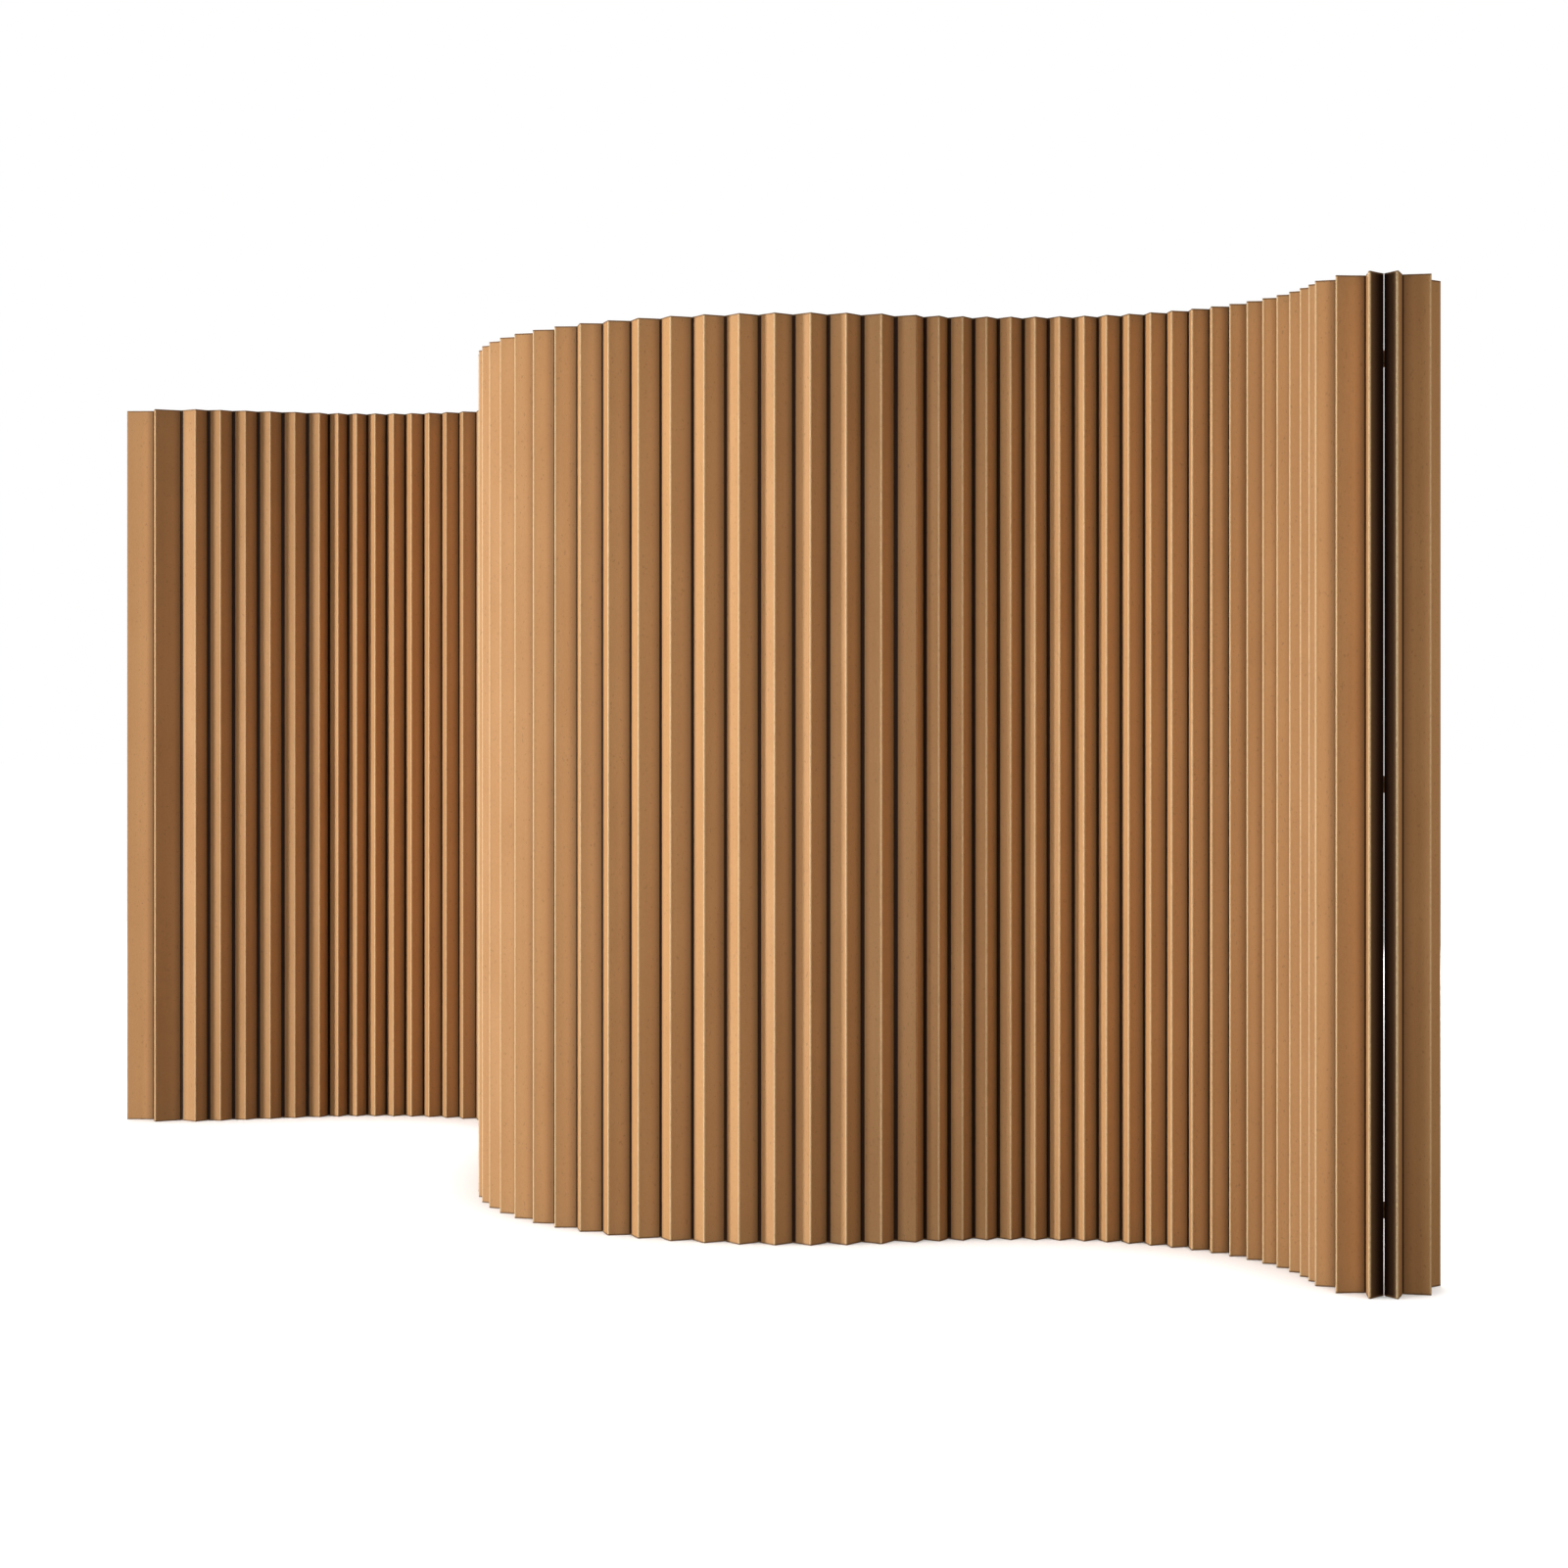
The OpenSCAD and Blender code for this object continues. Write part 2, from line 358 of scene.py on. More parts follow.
@dataclass
class WindingLine:
    """The line on which the screen stands, walked from the tail's free end to the return's.

    Sizes are those of the part's source, in millimetres and degrees. lap_gap is the room for the tape in
    a lap. A crease is folded up to pinch beyond its panels, but never beyond tightest to each side.
    """

    heading: float = 14.5
    tail_end_w: tuple[float, ...] = (69.5, 44, 66.5, 50)
    tail_end_dir: tuple[float, ...] = (-2.5, -75.5, 26, -33.5)
    tail_pleats: tuple[Stretch, ...] = (
        Stretch(10, 36, 30, 0.1),
        Stretch(16, 36, 48, -2.35),
        Stretch(18, 36, 46, -4.35),
    )
    bow_pleats: tuple[Stretch, ...] = (
        Stretch(24, 45, 40, 0.7),
        Stretch(16, 45, 40.5, 3.15),
        Stretch(18, 45, 41, 2.75),
    )
    hook_pleats: tuple[Stretch, ...] = (
        Stretch(14, 35, 46.5, -1.9),
        Stretch(28, 35, 50, -2.75),
    )
    hook_end_w: tuple[float, ...] = (37.5, 53, 53.5, 53)
    hook_end_dir: tuple[float, ...] = (-19.5, -102.5, 3.5, -96)
    flaps_w: tuple[float, float] = (43.8, 37.2)
    flaps_dir: tuple[float, float] = (43.5, -63.5)
    return_w: tuple[float, ...] = (48, 49.5, 52.5, 54.5)
    return_dir: tuple[float, ...] = (68, -12, 96.5, 37.5)
    section_panels: int = 5
    bow_first_panels: int = 3
    hook_first_panels: int = 2
    hook_end_panels: int = 3
    return_first_panels: int = 3
    thickness: float = 2.0
    lap_gap: float = 0.5
    lap_width: float = 28.0
    slit: float = 4.4
    fold_radius: float = 1.3
    pinch: float = 8.0
    tightest: float = 84.0
    points: list[Plan] = field(default_factory=list)
    dirs: list[Plan] = field(default_factory=list)

    def panels(self) -> list[tuple[float, float]]:
        """Lists the width and direction of every panel in the order of the walk.

        Returns:
            One (width, direction) pair for each panel.
        """
        pairs = list(zip(self.tail_end_w, self.tail_end_dir))
        heading = self.heading - self.tail_pleats[0].turn
        for stretch in (*self.tail_pleats, *self.bow_pleats, *self.hook_pleats):
            for i in range(stretch.panels):
                heading += stretch.turn
                lean = stretch.fold if i % 2 == 0 else -stretch.fold
                pairs.append((stretch.width, heading + lean))
        pairs += zip(self.hook_end_w, self.hook_end_dir)
        pairs += zip(self.flaps_w, self.flaps_dir)
        pairs += zip(self.return_w, self.return_dir)
        return pairs

    def walk(self, seam_at: Sequence[float]) -> None:
        """Walks the line and shifts it so that its seam stands on the frame's seam hinge.

        Args:
            seam_at: The seam hinge's place in the frame, in metres.
        """
        at = np.zeros(2)
        self.points, self.dirs = [at], []
        for width, direction in self.panels():
            along = unit(math.radians(direction))
            at = at + width * MM * along
            self.dirs.append(along)
            self.points.append(at)
        shift = np.array(seam_at[:2]) - self.points[self.seam]
        self.points = [point + shift for point in self.points]

    @property
    def tail_end(self) -> int:
        """Vertex at which the tail sheet ends behind the bow sheet's flap."""
        return len(self.tail_end_w) + sum(stretch.panels for stretch in self.tail_pleats)

    @property
    def bow_end(self) -> int:
        """Vertex at which the bow sheet ends in front of the hook sheet's flap."""
        return self.tail_end + sum(stretch.panels for stretch in self.bow_pleats)

    @property
    def hook_pleats_end(self) -> int:
        """Vertex at which the hook's even pleats give way to its wide panels."""
        return self.bow_end + sum(stretch.panels for stretch in self.hook_pleats)

    @property
    def seam(self) -> int:
        """Vertex of the open seam between the flaps of the hook and the return."""
        return self.hook_pleats_end + len(self.hook_end_w) + 1

    @property
    def last(self) -> int:
        """Vertex at the return's free end."""
        return self.seam + 1 + len(self.return_w)

    @property
    def laps(self) -> tuple[int, int]:
        """Vertices at which a sheet laps behind the one before."""
        return self.tail_end, self.bow_end

    def cuts(self, sheet: Sheet) -> list[int]:
        """Lists the vertices at which a sheet begins, is cut into sections and ends.

        Args:
            sheet: The sheet.

        Returns:
            The vertices in the order of the walk.
        """
        if sheet is Sheet.TAIL:
            return [0, *range(1, self.tail_end, self.section_panels), self.tail_end]
        if sheet is Sheet.BOW:
            inner = range(self.tail_end + self.bow_first_panels, self.bow_end, self.section_panels)
            return [self.tail_end, *inner, self.bow_end]
        if sheet is Sheet.HOOK:
            first, wide = self.bow_end + self.hook_first_panels, self.hook_pleats_end
            inner = range(first, wide + 1, self.section_panels)
            return [self.bow_end, *inner, wide + self.hook_end_panels, self.seam - 1, self.seam]
        return [self.seam, self.seam + self.return_first_panels, self.last - 1, self.last]

    def flap_corner(self, i: int, bend: float) -> Plan:
        """Gives the point at which the flap at a lap's vertex meets the panel that bends away there."""
        return self.points[i] + (self.thickness + self.lap_gap) * MM / math.sin(bend) * self.dirs[i]

    def crease(self, i: int) -> Optional[Crease]:
        """Gives the crease at a vertex, or nothing at the seam and the free ends.

        A fold that has to keep its panels flat, beside a lap, is rounded without pinching.

        Args:
            i: The vertex.

        Returns:
            The crease.
        """
        if i in (0, self.seam, self.last):
            return None
        fold = Crease.between(self.dirs[i - 1], self.dirs[i], self.points[i], self.fold_radius * MM)
        if i in self.laps:
            fold = replace(fold, apex=self.flap_corner(i, fold.bend))
        if i in self.laps or i + 1 in self.laps:
            return fold.drawn_in()
        room = math.radians(self.tightest) - fold.bend / 2
        return replace(fold, pinch=max(min(math.radians(self.pinch), room), 0.0))

    def panel(self, p: int) -> Panel:
        """Gives one panel of the line.

        Args:
            p: The vertex at which it begins.

        Returns:
            The panel, from fold to fold or to a free edge.
        """
        before, after = self.crease(p), self.crease(p + 1)
        start = before.apex if before else self.points[p]
        end = after.apex if after else self.points[p + 1]
        half_slit = self.slit / 2 * MM * self.dirs[p]
        if p == self.seam:
            start = start + half_slit
        if p + 1 == self.seam:
            end = end - half_slit
        stiff = p + 1 in self.laps
        if stiff:
            overlap = self.thickness / 2 * MM / math.sin(after.bend)
            end, after = self.points[p + 1] + overlap * self.dirs[p], None
        # Panels before the seam get a painted shadow where they begin; the return's panels get none.
        at_slit, in_lee = self.seam in (p, p + 1), p < self.seam
        return Panel(start, end, before, after, p, stiff, at_slit, in_lee)

    def flap(self, p: int) -> Panel:
        """Gives the flap with which a sheet laps behind the one before.

        Args:
            p: The vertex of the lap.

        Returns:
            The flap, from its free edge to its fold.
        """
        fold = self.crease(p)
        start = self.flap_corner(p, fold.bend) - self.lap_width * MM * self.dirs[p - 1]
        return Panel(start, fold.apex, None, fold, p - 1, stiff=True)

    def board(self, first: int, last: int) -> list[Stop]:
        """Lists the stops of the board between two cuts.

        At a hinge's crease the board ends where its panel starts to turn, and a fold strip goes on.

        Args:
            first: Vertex at which the board begins.
            last: Vertex at which it ends.

        Returns:
            The stops in the order of the walk.
        """
        runs = [*self.flap(first).stops().values()] if first in self.laps else []
        for p in range(first, last):
            left_out = ()
            if p == first and first not in self.laps:
                left_out += LEAVING
            if p + 1 == last:
                left_out += ARRIVING
            runs += [run for bit, run in self.panel(p).stops().items() if bit not in left_out]
        return chained(runs)

    def fold(self, vertex: int) -> list[Stop]:
        """Lists the stops of the fold strip over a hinge's crease.

        Args:
            vertex: The crease's vertex.

        Returns:
            The stops in the order of the walk.
        """
        into = [run for bit, run in self.panel(vertex - 1).stops().items() if bit in ARRIVING]
        out = [run for bit, run in self.panel(vertex).stops().items() if bit in LEAVING]
        return chained(into + out)


# ---------------------------------------------------------------- shaping in edit mode


def only(obj: bpy.types.Object) -> None:
    """Leaves one object selected and active.

    Args:
        obj: The object that the next operator works on.
    """
    bpy.ops.object.select_all(action="DESELECT")
    obj.select_set(True)
    bpy.context.view_layer.objects.active = obj


def apply_modifier(obj: bpy.types.Object, kind: str, **settings: object) -> None:
    """Adds a modifier and applies it.

    Args:
        obj: The piece to work on.
        kind: Blender's name for the modifier's type.
        settings: Values for its properties.
    """
    only(obj)
    modifier = obj.modifiers.new(kind.title(), kind)
    for name, value in settings.items():
        setattr(modifier, name, value)
    bpy.ops.object.modifier_apply(modifier=modifier.name)


def select_upright(obj: bpy.types.Object, at: Plan, near: float = 2e-5) -> None:
    """Selects the upright edges that stand on one point of the plan, in edit mode.

    Args:
        obj: The piece in edit mode.
        at: The point on the plan.
        near: How far an edge may be from it.
    """
    bpy.ops.mesh.select_all(action="DESELECT")
    mesh = bmesh.from_edit_mesh(obj.data)
    for edge in mesh.edges:
        if all(math.hypot(v.co.x - at[0], v.co.y - at[1]) < near for v in edge.verts):
            edge.select = True
    bmesh.update_edit_mesh(obj.data)


@dataclass
class BoardMaker:
    """Folds boards of one height and thickness, as by hand: a strip of bays, its warp, its thickness.

    foot is the height of their lower edge and rows the number of faces up them. warp is how far a panel
    may swell. A wave up the panel, of a share of that, comes on top. smooth is the angle between two
    faces up to which they are shaded as one rounded fold.
    """

    height: float
    thickness: float
    foot: float = 0.0
    rows: int = 12
    warp: float = 0.0006
    wave_share: tuple[float, float] = (0.2, 0.6)
    smooth: float = math.radians(35)

    def strip(self, name: str, stops: Sequence[Stop]) -> bpy.types.Object:
        """Stands a strip of no thickness on the plan, extruded bay by bay from its first.

        Args:
            name: Name of the new piece.
            stops: The uprights of its mesh.

        Returns:
            The strip.
        """
        points = [stop.at for stop in stops]
        first = points[1] - points[0]
        bpy.ops.object.select_all(action="DESELECT")
        bpy.ops.mesh.primitive_grid_add(
            x_subdivisions=1, y_subdivisions=self.rows, size=1,
            location=(*((points[0] + points[1]) / 2), self.foot + self.height / 2),
            rotation=(math.pi / 2, 0, math.atan2(first[1], first[0])),
        )
        obj = bpy.context.active_object
        obj.name = obj.data.name = name
        obj.scale = (float(np.linalg.norm(first)), self.height, 1)
        bpy.ops.object.transform_apply(location=True, rotation=True, scale=True)
        bpy.ops.object.mode_set(mode="EDIT")
        bpy.ops.mesh.select_mode(type="EDGE")
        select_upright(obj, points[1])
        for here, there in zip(points[1:], points[2:]):
            step = (*(there - here), 0)
            bpy.ops.mesh.extrude_region_move(TRANSFORM_OT_translate={"value": step})
        bpy.ops.object.mode_set(mode="OBJECT")
        return obj

    def board(self, name: str, stops: Sequence[Stop]) -> bpy.types.Object:
        """Makes one folded board with its warp, thickness and marks.

        Args:
            name: Name of the new piece.
            stops: The uprights of its mesh.

        Returns:
            The finished mesh, closed and facing outwards.
        """
        obj = self.strip(name, stops)
        places = np.empty(len(obj.data.vertices) * 3)
        obj.data.vertices.foreach_get("co", places)
        places = places.reshape(-1, 3)
        points = np.array([stop.at for stop in stops])
        upright = np.argmin(np.linalg.norm(places[:, None, :2] - points[None], axis=2), axis=1)
        faces_left = obj.data.polygons[0].normal.dot(Vector((*stops[0].left, 0))) > 0
        places[:, :2] += self.warped(stops, upright, places[:, 2])
        obj.data.vertices.foreach_set("co", places.ravel())
        apply_modifier(
            obj, "SOLIDIFY", thickness=self.thickness, offset=0.0, use_even_offset=True, use_rim=True,
        )
        self.write_marks(obj, stops, upright, faces_left)
        self.close(obj)
        return obj

    def warped(self, stops: Sequence[Stop], upright: np.ndarray, z: np.ndarray) -> np.ndarray:
        """Gives the slight warp of the flat bits, each of which swells in its own way.

        Args:
            stops: The uprights.
            upright: The upright that each vertex is on.
            z: Height of each vertex.

        Returns:
            The move of each vertex on the plan.
        """
        swell, wave, phase = [], [], []
        for stop in stops:
            draw = random.Random(stop.panel)
            swell.append(stop.give * draw.uniform(-1, 1))
            wave.append(stop.give * draw.uniform(*self.wave_share))
            phase.append(draw.uniform(0, math.tau))
        swell, wave, phase = (np.array(values)[upright] for values in (swell, wave, phase))
        lefts = np.array([stop.left for stop in stops])[upright]
        proud = self.warp * (swell + wave * np.sin(phase + math.tau * z / self.height))
        return proud[:, None] * lefts

    def write_marks(
        self, obj: bpy.types.Object, stops: Sequence[Stop], upright: np.ndarray, faces_left: bool
    ) -> None:
        """Stores the marks of both sides of a board on its mesh.

        Args:
            obj: The thickened board, whose second half of vertices is the far side of the first.
            stops: The uprights of the strip.
            upright: The upright that each of the strip's vertices is on.
            faces_left: Whether the strip's faces point to the left of the walk.
        """
        sides = (Side.LEFT, Side.RIGHT) if faces_left else (Side.RIGHT, Side.LEFT)
        halves = [self.marks(stops, side) for side in sides]
        for mark in Mark:
            values = np.concatenate([half[mark][upright] for half in halves])
            layer = obj.data.attributes.new(mark.value, "FLOAT", "POINT")
            layer.data.foreach_set("value", values.astype(np.float32))

    def marks(self, stops: Sequence[Stop], side: Side) -> dict[Mark, np.ndarray]:
        """Works out the marks of one side of a board.

        RIDGE is the distance from the nearest fold that stands out on that side, FURROW the distance
        from the one that goes in, and LEE the same on the panel that begins at that fold only. SLIT is
        the distance from the seam's slit on the right, where the inside of the seam is. ACROSS runs
        from -1 to 1 through the board. The finish paints shade by FURROW, LEE and SLIT, and wear with a
        painted highlight by RIDGE.

        Args:
            stops: The uprights.
            side: The side.

        Returns:
            One number for each upright, by mark.
        """
        # The painted shade of the seam's pocket goes only on the right side, where the inside of the seam
        # is.
        facing_slit = side is Side.RIGHT
        columns = {
            Mark.RIDGE: [stop.near[Side(-side)] for stop in stops],
            Mark.FURROW: [stop.near[side] for stop in stops],
            Mark.LEE: [stop.past[side] for stop in stops],
            Mark.SLIT: [stop.to_slit if facing_slit else FAR_FROM_SLIT for stop in stops],
            Mark.ACROSS: [float(side) for _ in stops],
        }
        return {mark: np.array(column) for mark, column in columns.items()}

    def close(self, obj: bpy.types.Object) -> None:
        """Points a closed mesh's faces outwards and shades its rounded folds smooth.

        Args:
            obj: The finished board.
        """
        only(obj)
        bpy.ops.object.mode_set(mode="EDIT")
        bpy.ops.mesh.select_all(action="SELECT")
        bpy.ops.mesh.normals_make_consistent(inside=False)
        bpy.ops.object.mode_set(mode="OBJECT")
        bpy.ops.object.shade_smooth_by_angle(angle=self.smooth)


# ---------------------------------------------------------------- finishes, with painted shade and highlight


@dataclass(frozen=True)
class Fade:
    """A level that is at_near up to near, and from there changes smoothly to at_far at far."""

    near: float
    far: float
    at_near: float
    at_far: float = 0.0


@dataclass(frozen=True)
class Noise:
    """Noise of so many lumps a metre, which are drawn out along the height where upright is under 1."""

    lumps: float
    upright: float
    octaves: float


class NodeBench:
    """Places and wires the shader nodes of one material."""

    def __init__(self, name: str) -> None:
        """Starts a material that holds a Principled shader and its output.

        Args:
            name: Name of the material.
        """
        self.material = bpy.data.materials.new(name)
        self.material.use_nodes = True
        self.tree = self.material.node_tree
        self.shader = self.tree.nodes["Principled BSDF"]

    def add(self, kind: str, **settings: object) -> bpy.types.Node:
        """Adds a node.

        Args:
            kind: The node's type.
            settings: Values for its properties.

        Returns:
            The new node.
        """
        node = self.tree.nodes.new(kind)
        for name, value in settings.items():
            setattr(node, name, value)
        return node

    def feed(self, socket: bpy.types.NodeSocket, value: object) -> None:
        """Wires a socket to another one, or sets its value.

        Args:
            socket: The input socket.
            value: An output socket, a number or a colour.
        """
        if isinstance(value, bpy.types.NodeSocket):
            self.tree.links.new(value, socket)
        else:
            socket.default_value = value

    def maths(self, operation: str, a: object, b: object = 0.0, c: object = 0.0) -> bpy.types.NodeSocket:
        """Works out one sum.

        Args:
            operation: Name of the operation.
            a: First socket or number.
            b: Second socket or number.
            c: Third socket or number, where the operation has one.

        Returns:
            The result's socket.
        """
        node = self.add("ShaderNodeMath", operation=operation)
        for socket, value in zip(node.inputs, (a, b, c)):
            self.feed(socket, value)
        return node.outputs[0]

    def fade(self, value: object, fade: Fade) -> bpy.types.NodeSocket:
        """Maps a distance or a pattern to a level.

        Args:
            value: The distance's or the pattern's socket.
            fade: The levels.

        Returns:
            The level's socket.
        """
        node = self.add("ShaderNodeMapRange", interpolation_type="SMOOTHSTEP")
        for socket, number in zip(node.inputs, (value, fade.near, fade.far, fade.at_near, fade.at_far)):
            self.feed(socket, number)
        return node.outputs[0]

    def place(self) -> bpy.types.NodeSocket:
        """Reads where on the piece a point is, in metres."""
        return self.add("ShaderNodeTexCoord").outputs["Object"]

    def noise(self, noise: Noise) -> bpy.types.NodeSocket:
        """Adds noise that lies still on the piece.

        Args:
            noise: The noise.

        Returns:
            The noise's socket, from 0 to 1.
        """
        mapping = self.add("ShaderNodeMapping")
        self.feed(mapping.inputs["Vector"], self.place())
        mapping.inputs["Scale"].default_value = (1, 1, noise.upright)
        node = self.add("ShaderNodeTexNoise")
        self.feed(node.inputs["Vector"], mapping.outputs[0])
        node.inputs["Scale"].default_value = noise.lumps
        node.inputs["Detail"].default_value = noise.octaves
        return node.outputs["Fac"]

    def mix(self, share: object, a: object, b: object) -> bpy.types.NodeSocket:
        """Mixes two colours.

        Args:
            share: How much of the second, from 0 to 1.
            a: First colour or socket.
            b: Second colour or socket.

        Returns:
            The mixed colour's socket.
        """
        node = self.add("ShaderNodeMix", data_type="RGBA")
        self.feed(node.inputs["Factor"], share)
        for socket, colour in ((node.inputs["A"], a), (node.inputs["B"], b)):
            self.feed(socket, colour if isinstance(colour, bpy.types.NodeSocket) else (*colour, 1))
        return node.outputs["Result"]

    def mark(self, mark: Mark) -> bpy.types.NodeSocket:
        """Reads a mark that is stored on the piece."""
        return self.add("ShaderNodeAttribute", attribute_name=mark.value).outputs["Fac"]

    def emboss(self, pattern: bpy.types.NodeSocket, height: float, strength: float = 1.0) -> None:
        """Roughens the surface with a pattern.

        Args:
            pattern: The pattern's socket, from 0 to 1.
            height: Height of the pattern, in metres.
            strength: How much of it shows, from 0 to 1.
        """
        bump = self.add("ShaderNodeBump")
        bump.inputs["Distance"].default_value = height
        bump.inputs["Strength"].default_value = strength
        self.feed(bump.inputs["Height"], pattern)
        self.feed(self.shader.inputs["Normal"], bump.outputs[0])


@dataclass(frozen=True)
class KraftBoardFinish:
    """Brown folded kraft board: fibres, flecks, soft mottling, ridges pale with wear and a painted
    highlight, and painted shade in the furrows, in the seam's pocket and where a panel begins in the lee of
    the one before.

    Patterns, shares and places across the board run from 0 to 1. Distances are in metres, and height is
    the board's.
    """

    height: float
    name: str = "kraft board"
    light: Colour = (0.65, 0.36, 0.155)
    dark: Colour = (0.50, 0.25, 0.098)
    # Colour of the ridges' wear together with a painted highlight.
    worn_and_highlight_colour: Colour = (0.95, 0.72, 0.42)
    # Near-black colour of all painted shade on the board.
    painted_shade_colour: Colour = (0.022, 0.007, 0.002)
    ply: Colour = (0.36, 0.21, 0.10)
    fleck: Colour = (0.30, 0.165, 0.075)
    # Darker colour of a narrow band along the top and bottom edges.
    rim_dark_colour: Colour = (0.20, 0.11, 0.05)
    fibres: Noise = Noise(620.0, 0.22, 4.0)
    clouds: Noise = Noise(9.0, 0.6, 3.0)
    streaks: Noise = Noise(46.0, 0.03, 2.0)
    specks: Noise = Noise(260.0, 0.5, 1.0)
    middle: float = 0.5
    fibre_share: float = 0.6
    cloud_share: float = 0.5
    streak_share: float = 0.5
    flecked: Fade = Fade(0.66, 0.74, 0.0, 0.4)
    patchy: Fade = Fade(0.3, 0.6, 0.6, 1.0)
    # Ridge wear with a painted highlight, pale near the folds that stand out.
    ridge_wear_and_highlight: Fade = Fade(0.0, 0.0012, 0.55)
    # Painted shade: a dark line along the furrow's crease.
    furrow_painted_shade_line: Fade = Fade(0.0014, 0.0034, 0.92)
    # Painted shade that fades out across the panel from the furrow.
    furrow_painted_shade: Fade = Fade(0.0, 0.022, 0.4)
    # Painted shadow of the panel before, near the fold at which a panel begins.
    painted_lee_shadow: Fade = Fade(0.0066, 0.0088, 0.98)
    # Painted shade that deepens towards the seam's slit, inside its pocket.
    slit_painted_shade: Fade = Fade(0.0, 0.12, 1.0)
    ply_pitch: float = 0.25
    plies: Fade = Fade(0.05, 0.15, 0.0, 0.6)
    cut: Fade = Fade(0.97, 0.999, 1.0)
    rim: Fade = Fade(0.00175, 0.0035, 0.85)
    roughness: Fade = Fade(0.2, 0.8, 0.7, 0.54)
    gloss: float = 0.2
    relief: float = 0.00012
    relief_share: float = 0.6

    def material(self) -> bpy.types.Material:
        """Builds the material.

        Returns:
            The finished material.
        """
        bench = NodeBench(self.name)
        fibre = bench.noise(self.fibres)
        grain = self.grain(bench, fibre)
        colour = bench.mix(grain, self.dark, self.light)
        colour = bench.mix(bench.fade(bench.noise(self.specks), self.flecked), colour, self.fleck)
        colour = self.folds(bench, colour, fibre)
        colour = self.cut_edges(bench, colour)
        bench.feed(bench.shader.inputs["Base Color"], colour)
        bench.feed(bench.shader.inputs["Roughness"], bench.fade(grain, self.roughness))
        bench.shader.inputs["Specular IOR Level"].default_value = self.gloss
        bench.emboss(fibre, self.relief, self.relief_share)
        return bench.material

    def grain(self, bench: NodeBench, fibre: bpy.types.NodeSocket) -> bpy.types.NodeSocket:
        """Adds up the paper's soft clouds, fibres and long upright streaks.

        Args:
            bench: The material's bench.
            fibre: The finest fibres, from 0 to 1.

        Returns:
            The mixture's socket, about the middle on average.
        """
        clouds, streaks = bench.noise(self.clouds), bench.noise(self.streaks)
        base = self.middle * (1 - self.cloud_share)
        grain = bench.maths("MULTIPLY_ADD", clouds, self.cloud_share, base)
        for pattern, share in ((fibre, self.fibre_share), (streaks, self.streak_share)):
            swing = bench.maths("SUBTRACT", pattern, self.middle)
            grain = bench.maths("MULTIPLY_ADD", swing, share, grain)
        return grain

    def folds(
        self, bench: NodeBench, colour: bpy.types.NodeSocket, fibre: bpy.types.NodeSocket
    ) -> bpy.types.NodeSocket:
        """Paints shade on the flaps in the seam's pocket, pales the ridges with wear and a painted
        highlight, and paints shade into the furrows and a shadow where a panel begins in the lee.

        Args:
            bench: The material's bench.
            colour: The board's colour so far.
            fibre: The finest fibres, from 0 to 1.

        Returns:
            The new colour's socket.
        """
        # Painted shade on the flaps inside the seam's pocket.
        colour = bench.mix(bench.fade(bench.mark(Mark.SLIT), self.slit_painted_shade), colour, self.painted_shade_colour)
        # Pale ridges: partly wear, partly a painted highlight.
        ridge_wear_and_highlight = bench.fade(bench.mark(Mark.RIDGE), self.ridge_wear_and_highlight)
        ridge_wear_and_highlight = bench.maths("MULTIPLY", ridge_wear_and_highlight, bench.fade(fibre, self.patchy))
        colour = bench.mix(ridge_wear_and_highlight, colour, self.worn_and_highlight_colour)
        # Painted shade in the furrows, where the fold's inside is.
        furrow = bench.mark(Mark.FURROW)
        shade = bench.maths("MAXIMUM", bench.fade(furrow, self.furrow_painted_shade_line), bench.fade(furrow, self.furrow_painted_shade))
        # Painted shadow where a panel begins in the lee of the one before.
        shade = bench.maths("MAXIMUM", shade, bench.fade(bench.mark(Mark.LEE), self.painted_lee_shadow))
        return bench.mix(shade, colour, self.painted_shade_colour)

    def cut_edges(self, bench: NodeBench, colour: bpy.types.NodeSocket) -> bpy.types.NodeSocket:
        """Shows the plies in the cut edges and darkens a narrow band along the board's top and bottom
        edges.

        Args:
            bench: The material's bench.
            colour: The board's colour so far.

        Returns:
            The new colour's socket.
        """
        across = bench.maths("ABSOLUTE", bench.mark(Mark.ACROSS))
        plies = bench.fade(bench.maths("PINGPONG", across, self.ply_pitch), self.plies)
        plies = bench.maths("MULTIPLY", plies, bench.fade(across, self.cut))
        colour = bench.mix(plies, colour, self.ply)
        place = bench.add("ShaderNodeSeparateXYZ")
        bench.feed(place.inputs[0], bench.place())
        # Darker towards the top and bottom edges.
        from_rim = bench.maths("PINGPONG", place.outputs["Z"], self.height / 2)
        return bench.mix(bench.fade(from_rim, self.rim), colour, self.rim_dark_colour)


@dataclass(frozen=True)
class KraftTapeFinish:
    """Paler gummed paper tape with fine fibres and a soft mottle."""

    name: str = "kraft tape"
    light: Colour = (0.66, 0.47, 0.29)
    dark: Colour = (0.52, 0.35, 0.20)
    fibres: Noise = Noise(700.0, 0.3, 3.0)
    mottle: Noise = Noise(30.0, 1.0, 2.0)
    roughness: float = 0.5
    relief: float = 0.00008

    def material(self) -> bpy.types.Material:
        """Builds the material.

        Returns:
            The finished material.
        """
        bench = NodeBench(self.name)
        fibre = bench.noise(self.fibres)
        mean = bench.maths("MULTIPLY", bench.maths("ADD", fibre, bench.noise(self.mottle)), 1 / 2)
        bench.feed(bench.shader.inputs["Base Color"], bench.mix(mean, self.dark, self.light))
        bench.shader.inputs["Roughness"].default_value = self.roughness
        bench.emboss(fibre, self.relief)
        return bench.material


# ---------------------------------------------------------------- the screen's parts


